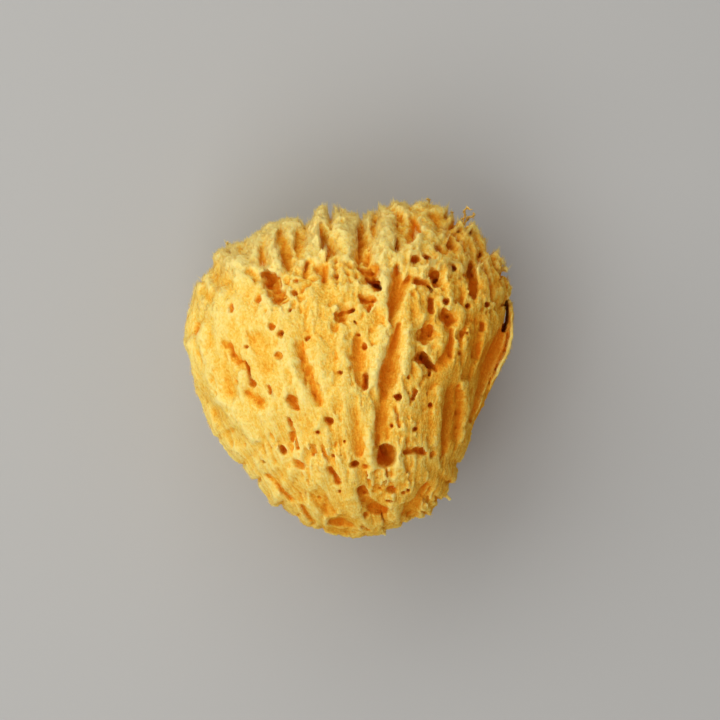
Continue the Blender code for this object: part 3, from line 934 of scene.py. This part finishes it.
def fibre_directions(place, normal, lift, spread, random):
    """Along the flutes, raised off the skin by a share, and scattered."""
    flute = unit(place - FAN_ORIGIN)
    flat = unit(flute - (flute * normal).sum(axis=1, keepdims=True) * normal)
    crown = smoothstep(10.0, 40.0, place[:, 1])[:, None]
    lying = unit(flat * (1 - crown) + flute * crown)
    spread = spread * (1 - 0.6 * crown)
    return unit(lying + lift * normal + spread * random.normal(size=place.shape))


def felt_weight(middle, normal):
    """More fibres round the outline and on the crown, fewer on the open faces and underneath."""
    steep = smoothstep(0.75, 0.25, np.abs(normal[:, 2]))
    return (0.2 + steep) * np.where(middle[:, 2] > 20, 1.0, 0.4) * np.where(middle[:, 2] < 3, 0.3, 1.0)


def openness(value):
    """How long the fibres grow, as a share: short where they would fill a pore."""
    return 1 - 0.72 * smoothstep(0.42, 0.68, value)


def add_fibres(name, points, faces, value, root_to_tip, material):
    """A piece of spikes, none of them below the floor, each with its own colour value."""
    points[:, 2] = np.maximum(points[:, 2], 0.02)
    mesh = mesh_of(name, points, faces)
    set_attribute(mesh, "painted_shade", (value[:, None] + root_to_tip).ravel())
    add_piece(mesh, material)


def make_felt(name, body_points, body_faces, count, seed, shade, material):
    """Short fibres that stand off the skin every way."""
    random = np.random.default_rng(seed)
    place, normal = sample_surface(body_points, body_faces, count, felt_weight, random)
    value = shade.at(place)
    direction = fibre_directions(place, normal, 0.8, 0.7, random)
    length = random.uniform(0.4, 1.2, count) * openness(value)
    width = random.uniform(0.022, 0.038, count)
    points, faces = spikes(place, direction, length, width, random)
    # The fibres take the painted shade of the skin they grow from, and their tips are painted paler, as
    # painted light on the fibre ends
    value = 0.85 * value + 0.08 + 0.05 * random.normal(size=count)
    add_fibres(name, points, faces, value, [0.02, 0.02, 0.02, -0.20], material)


def clump_weight(middle, normal):
    """Clumps of longer fibres grow on the crown, and thinly elsewhere."""
    crown = smoothstep(18.0, 40.0, middle[:, 1])
    steep = smoothstep(0.85, 0.4, np.abs(normal[:, 2]))
    return (0.25 * steep + crown) * (0.25 + steep) * np.where(middle[:, 2] < 20, 0.35, 1.0)


def make_clumps(name, body_points, body_faces, clumps, size, seed, shade, material):
    """Fibres in small bundles that draw together at the tips, like a wet brush."""
    random = np.random.default_rng(seed)
    place, normal = sample_surface(body_points, body_faces, clumps * 2, clump_weight, random)
    value = shade.at(place)
    chosen = np.argsort(value + 0.3 * random.random(len(value)))[:clumps]
    place, normal, value = place[chosen], normal[chosen], value[chosen]
    direction = fibre_directions(place, normal, 0.16, 0.10, random)
    crown = smoothstep(12.0, 36.0, place[:, 1])
    outward = np.clip((direction * normal).sum(axis=1), 0, 1)
    length = random.uniform(1.3, 2.6, clumps) * (1 + 0.7 * crown) * (1.1 - 0.72 * outward)
    length *= openness(value)
    tip = np.repeat(place + length[:, None] * direction, size, axis=0)
    count = clumps * size
    along, length = np.repeat(direction, size, axis=0), np.repeat(length, size)
    beside = np.cross(along, random.normal(size=(count, 3)))
    root = np.repeat(place - 0.1 * normal, size, axis=0) + 0.30 * beside
    tip = tip + 0.12 * random.normal(size=(count, 3))
    tip = tip - along * (length * random.uniform(0, 0.4, count))[:, None]
    run = tip - root
    length = np.linalg.norm(run, axis=1)
    width = random.uniform(0.024, 0.040, count)
    points, faces = spikes(root, run / length[:, None], length, width, random)
    # The clumps take the painted shade of the skin they grow from, and their tips are painted paler, as
    # painted light on the fibre ends
    tone = np.repeat(value * 0.85 + 0.10 + 0.06 * random.normal(size=clumps), size)
    tone += 0.04 * random.normal(size=count)
    add_fibres(name, points, faces, tone, [0.04, 0.04, 0.04, -0.14], material)


def crinkled(path, random):
    """A fibre's line with short kinks."""
    line = np.array([(*plan(x, y), CENTRE_HEIGHT + 0.9 * k) for k, (x, y) in enumerate(path)])
    steps = np.linspace(0, len(line) - 1, 3 * len(line))
    line = np.stack([np.interp(steps, np.arange(len(line)), axis) for axis in line.T], axis=1)
    return line + 0.22 * random.normal(size=line.shape)


def make_loose_fibres(name, material):
    """Crinkled closed tubes along the fibres that curl off the outline, with fuzz on them."""
    random = np.random.default_rng(LOOSE_SEED)
    points, faces = [], []
    turn = np.arange(4) * np.pi / 2
    hairs = []
    for path in LOOSE_FIBRES:
        for _ in range(3):
            line = crinkled(path, random)
            run = unit(np.gradient(line, axis=0))
            side = unit(np.cross(run, [0.0, 0.0, 1.0]))
            other = np.cross(run, side)
            size = np.linspace(0.24, 0.12, len(line))[:, None, None]
            ring = np.cos(turn)[None, :, None] * side[:, None]
            ring = ring + np.sin(turn)[None, :, None] * other[:, None]
            base = sum(len(p) for p in points)
            points.append((line[:, None] + size * ring).reshape(-1, 3))
            last = base + 4 * (len(line) - 1)
            faces += [(base, base + 2, base + 1), (base, base + 3, base + 2)]
            faces += [(last, last + 1, last + 2), (last, last + 2, last + 3)]
            for k in range(len(line) - 1):
                for j in range(4):
                    low, next_low = base + 4 * k + j, base + 4 * k + (j + 1) % 4
                    faces += [(low, next_low, next_low + 4), (low, next_low + 4, low + 4)]
            hairs.append(np.repeat(line, 3, axis=0))
    place = np.concatenate(hairs)
    count = len(place)
    hair, tips = spikes(
        place, unit(random.normal(size=(count, 3))), random.uniform(0.3, 0.9, count),
        np.full(count, 0.07), random,
    )
    base = sum(len(p) for p in points)
    mesh = mesh_of(name, np.concatenate([*points, hair]), np.concatenate([faces, tips + base]))
    set_attribute(mesh, "painted_shade", np.full(len(mesh.vertices), 0.30))
    add_piece(mesh, material)


class Nodes:
    """Short calls that add nodes to a material and link them."""

    def __init__(self, material):
        material.use_nodes = True
        self.tree = material.node_tree
        self.tree.nodes.clear()

    def add(self, kind, inputs=(), **settings):
        node = self.tree.nodes.new("ShaderNode" + kind)
        for name, value in settings.items():
            setattr(node, name, value)
        for name, value in dict(inputs).items():
            if isinstance(value, bpy.types.NodeSocket):
                self.tree.links.new(value, node.inputs[name])
            else:
                node.inputs[name].default_value = value
        return node


# How much each kind of noise changes the colours, and what they add up to on the whole
PATCH_SHARE, SPECK_SHARE, STREAK_SHARE = 0.22, 0.50, 0.52
MEAN_NOISE = 0.615

# Base colours along the painted shade, from the palest lit tufts to the deepest shaded pores: how shut in,
# and the colour
COLOURS = [
    (0.14, (1.00, 0.79, 0.27)),
    (0.34, (0.98, 0.66, 0.120)),
    (0.52, (0.92, 0.48, 0.044)),
    (0.70, (0.83, 0.32, 0.016)),
    (1.00, (0.70, 0.175, 0.005)),
]


def noise_texture(nodes, place, scale, detail):
    return nodes.add("TexNoise", {"Vector": place, "Scale": scale, "Detail": detail}).outputs["Fac"]


def fan_coordinates(nodes, place):
    """Coordinates that follow the flutes, so that noise in them runs out in streaks."""
    axes = nodes.add("SeparateXYZ", {"Vector": place}).outputs
    run = nodes.add("Math", {0: axes[1], 1: -FAN_ORIGIN[1] * MM}, operation="ADD").outputs[0]
    across = nodes.add("Math", {0: axes[0], 1: -FAN_ORIGIN[0] * MM}, operation="ADD").outputs[0]
    across = nodes.add("Math", {0: across, 1: run}, operation="DIVIDE").outputs[0]
    up = nodes.add("Math", {0: axes[2], 1: -FAN_ORIGIN[2] * MM}, operation="ADD").outputs[0]
    up = nodes.add("Math", {0: up, 1: run}, operation="DIVIDE").outputs[0]
    along = nodes.add("Math", {0: run, 1: 0.8}, operation="MULTIPLY").outputs[0]
    return nodes.add("CombineXYZ", {"X": across, "Y": up, "Z": along}).outputs[0]


def sponge_material(name, bump):
    """The sponge's colours with their painted shade; with bump, also a fine grain and some translucency for
    the body.
    """
    material = bpy.data.materials.new(name)
    nodes = Nodes(material)
    # The painted shade value sets where on the colour band each place lies
    painted_shade = nodes.add("Attribute", attribute_name="painted_shade").outputs["Fac"]
    place = nodes.add("TexCoord").outputs["Object"]
    patch = noise_texture(nodes, place, 90.0, 3.0)
    speck = noise_texture(nodes, place, 1500.0, 3.0)
    streak = noise_texture(nodes, fan_coordinates(nodes, place), 150.0, 4.0)
    mixed = painted_shade
    for value, share in ((patch, PATCH_SHARE), (speck, SPECK_SHARE), (streak, STREAK_SHARE)):
        mixed = nodes.add("Math", {0: value, 1: share, 2: mixed}, operation="MULTIPLY_ADD").outputs[0]
    mixed = nodes.add("Math", {0: mixed, 1: MEAN_NOISE}, operation="SUBTRACT").outputs[0]
    ramp = nodes.add("ValToRGB", {"Fac": mixed})
    band = ramp.color_ramp
    band.interpolation = "B_SPLINE"
    while len(band.elements) < len(COLOURS):
        band.elements.new(0.5)
    for element, (place_on_band, colour) in zip(band.elements, COLOURS):
        element.position = place_on_band
        element.color = (*colour, 1.0)
    shader = nodes.add(
        "BsdfPrincipled",
        {
            "Base Color": ramp.outputs["Color"],
            "Roughness": 0.9,
            "Specular IOR Level": 0.0,
            "Subsurface Weight": 0.35 if bump else 0.0,
            "Subsurface Radius": (1.0, 0.7, 0.45),
            "Subsurface Scale": 0.001,
        },
    )
    if bump:
        grain = noise_texture(nodes, place, 1400.0, 4.0)
        grain = nodes.add("Math", {0: streak, 1: 0.6, 2: grain}, operation="MULTIPLY_ADD").outputs[0]
        raised = nodes.add("Bump", {"Height": grain, "Strength": 0.6, "Distance": 0.0008})
        nodes.tree.links.new(raised.outputs["Normal"], shader.inputs["Normal"])
    output = nodes.add("OutputMaterial")
    nodes.tree.links.new(shader.outputs["BSDF"], output.inputs["Surface"])
    return material


def make_sponge():
    grid = Grid((-54, -56, -1.5), (54, 58, 82), VOXEL)
    field, form = sponge_field(grid)
    points, quads = surface_of(grid, field)
    mesh = thinned(mesh_of("sponge_body", points, quads), BODY_TRIANGLES)
    mesh.name = "sponge_body"
    shade = Shade(grid, field, form)
    points, faces = points_of(mesh), triangles_of(mesh)
    # The body is painted a little deeper than the fibres over it, as painted shade under the felt
    set_attribute(mesh, "painted_shade", shade.at(points) + 0.07)
    mesh.shade_smooth()
    body = add_piece(mesh, sponge_material("sponge_skeleton", True))
    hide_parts("sea_sponge")
    fibre = sponge_material("sponge_fibre", False)
    make_felt("felt_fibres", points, faces, FELT_FIBRES, FELT_SEED, shade, fibre)
    make_clumps(
        "clump_fibres", points, faces, CLUMPS, FIBRES_IN_A_CLUMP, CLUMP_SEED, shade, fibre
    )
    make_loose_fibres("loose_fibres", fibre)


def make_stage():
    """A plain pale floor."""
    mesh = bpy.data.meshes.new("floor")
    side = 3.0
    mesh.from_pydata(
        [(-side, -side, 0), (side, -side, 0), (side, side, 0), (-side, side, 0)], [], [(0, 1, 2, 3)]
    )
    floor = bpy.data.objects.new("floor", mesh)
    bpy.context.scene.collection.objects.link(floor)
    material = bpy.data.materials.new("pale_floor")
    material.use_nodes = True
    shader = material.node_tree.nodes["Principled BSDF"]
    shader.inputs["Base Color"].default_value = FLOOR_COLOUR
    shader.inputs["Roughness"].default_value = 0.9
    mesh.materials.append(material)


# Soft lights: place in metres, size, watts and colour
LIGHTS = {
    "key": ((-0.86, 0.36, 0.88), 1.2, 7.8, (1.0, 0.98, 0.95)),
    "overhead": ((-0.38, -0.70, 1.2), 1.0, 8.4, (1.0, 0.98, 0.96)),
    "crown": ((-0.20, 0.95, 0.75), 0.8, 3.0, (1.0, 0.98, 0.95)),
}
WORLD_LIGHT = 0.31


def add_area_light(name, place, size, power, colour):
    light = bpy.data.lights.new(name, "AREA")
    light.size = size
    light.energy = power
    light.color = colour
    lamp = bpy.data.objects.new(name, light)
    lamp.location = place
    aim = Vector((0, 0, CENTRE_HEIGHT * MM)) - lamp.location
    lamp.rotation_euler = aim.to_track_quat("-Z", "Y").to_euler()
    bpy.context.scene.collection.objects.link(lamp)


def make_lights():
    for name, settings in LIGHTS.items():
        add_area_light(name, *settings)
    world = bpy.data.worlds.new("studio")
    bpy.context.scene.world = world
    world.use_nodes = True
    back = world.node_tree.nodes["Background"]
    back.inputs["Color"].default_value = (1.0, 0.98, 0.96, 1.0)
    back.inputs["Strength"].default_value = WORLD_LIGHT
    bpy.context.scene.view_settings.view_transform = "Standard"


def make_camera():
    """Straight above, framed as the photograph."""
    camera = bpy.data.cameras.new("camera")
    above = 0.9
    frame_side = PHOTO_SIDE * MM_PER_PIXEL * MM
    camera.lens = camera.sensor_width * (above - CENTRE_HEIGHT * MM) / frame_side
    holder = bpy.data.objects.new("camera", camera)
    x, y = plan(PHOTO_SIDE / 2, PHOTO_SIDE / 2)
    holder.location = (x * MM, y * MM, above)
    bpy.context.scene.collection.objects.link(holder)
    bpy.context.scene.camera = holder


make_sponge()
make_stage()
make_lights()
make_camera()
